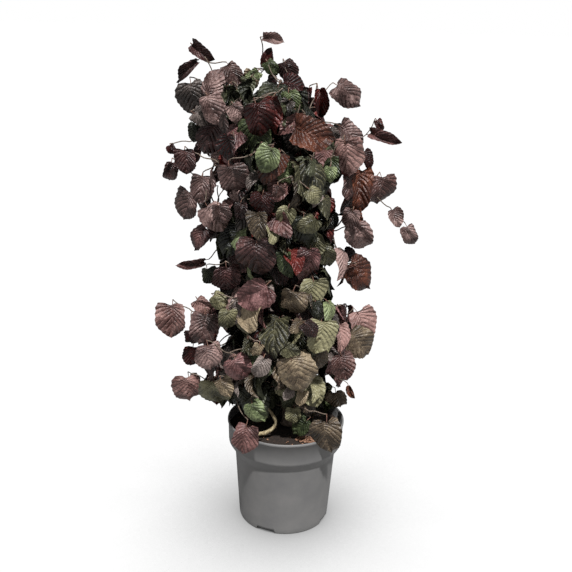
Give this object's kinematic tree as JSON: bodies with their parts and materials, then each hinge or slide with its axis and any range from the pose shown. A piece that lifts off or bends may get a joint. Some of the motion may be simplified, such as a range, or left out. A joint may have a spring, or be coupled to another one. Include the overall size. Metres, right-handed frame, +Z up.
{
  "type": "potted red majestic hazel shrub",
  "caption": "Upright contorted hazel shrub with drooping purple, rose and olive leaves, growing in a plain round grey nursery pot filled with soil.",
  "frame": {"origin": "centre of the pot's flat underside", "axes": "+Z up along the plant, -Y towards the pictured front, +X to the viewer's right"},
  "size_m": [0.5945, 0.3807, 1.1493],
  "materials": {
    "pot": "moulded grey polypropylene, satin",
    "soil": "dark moist potting soil",
    "bark": "grey-brown bark",
    "pale_shoot": "pale stripped shoot",
    "leaves_mauve": "pleated matt leaf, mauve-purple",
    "leaves_rose": "pleated matt leaf, rose-brown",
    "leaves_olive": "pleated matt leaf, olive"
  },
  "bodies": {
    "root": {"bough_high_back": "bark", "bough_high_left": "bark", "bough_high_right": "bark", "bough_low_back": "bark", "bough_low_front": "bark", "bough_low_left": "bark", "bough_low_right": "bark", "bough_middle_back_left": "bark", "bough_middle_back_right": "bark", "bough_middle_front_left": "bark", "bough_middle_front_right": "bark", "bough_skirt_back_left": "bark", "bough_skirt_back_right": "bark", "bough_skirt_front_left": "bark", "bough_skirt_front_right": "bark", "bough_top_left": "bark", "bough_upper_front_right": "bark", "foliage_high_back": "leaves_mauve", "foliage_high_front": "leaves_olive", "foliage_high_left": "leaves_mauve", "foliage_high_right": "leaves_rose", "foliage_low_back": "leaves_mauve", "foliage_low_front": "leaves_olive", "foliage_low_left": "leaves_mauve", "foliage_low_right": "leaves_rose", "foliage_middle_back_left": "leaves_mauve", "foliage_middle_back_right": "leaves_rose", "foliage_middle_front_left": "leaves_mauve", "foliage_middle_front_right": "leaves_olive", "foliage_skirt_back_left": "leaves_mauve", "foliage_skirt_back_right": "leaves_rose", "foliage_skirt_front_left": "leaves_mauve", "foliage_skirt_front_right": "leaves_olive", "foliage_top_front_right": "leaves_olive", "foliage_top_left": "leaves_mauve", "foliage_upper_back_left": "leaves_mauve", "foliage_upper_back_right": "leaves_rose", "foliage_upper_front_left": "leaves_mauve", "foliage_upper_front_right": "leaves_olive", "leader_back": "bark", "leader_front": "bark", "leader_left": "bark", "leader_right": "bark", "leader_top": "bark", "pale_shoot": "pale_shoot", "pot": "pot", "soil": "soil", "trunk": "bark"}
  },
  "joints": []
}
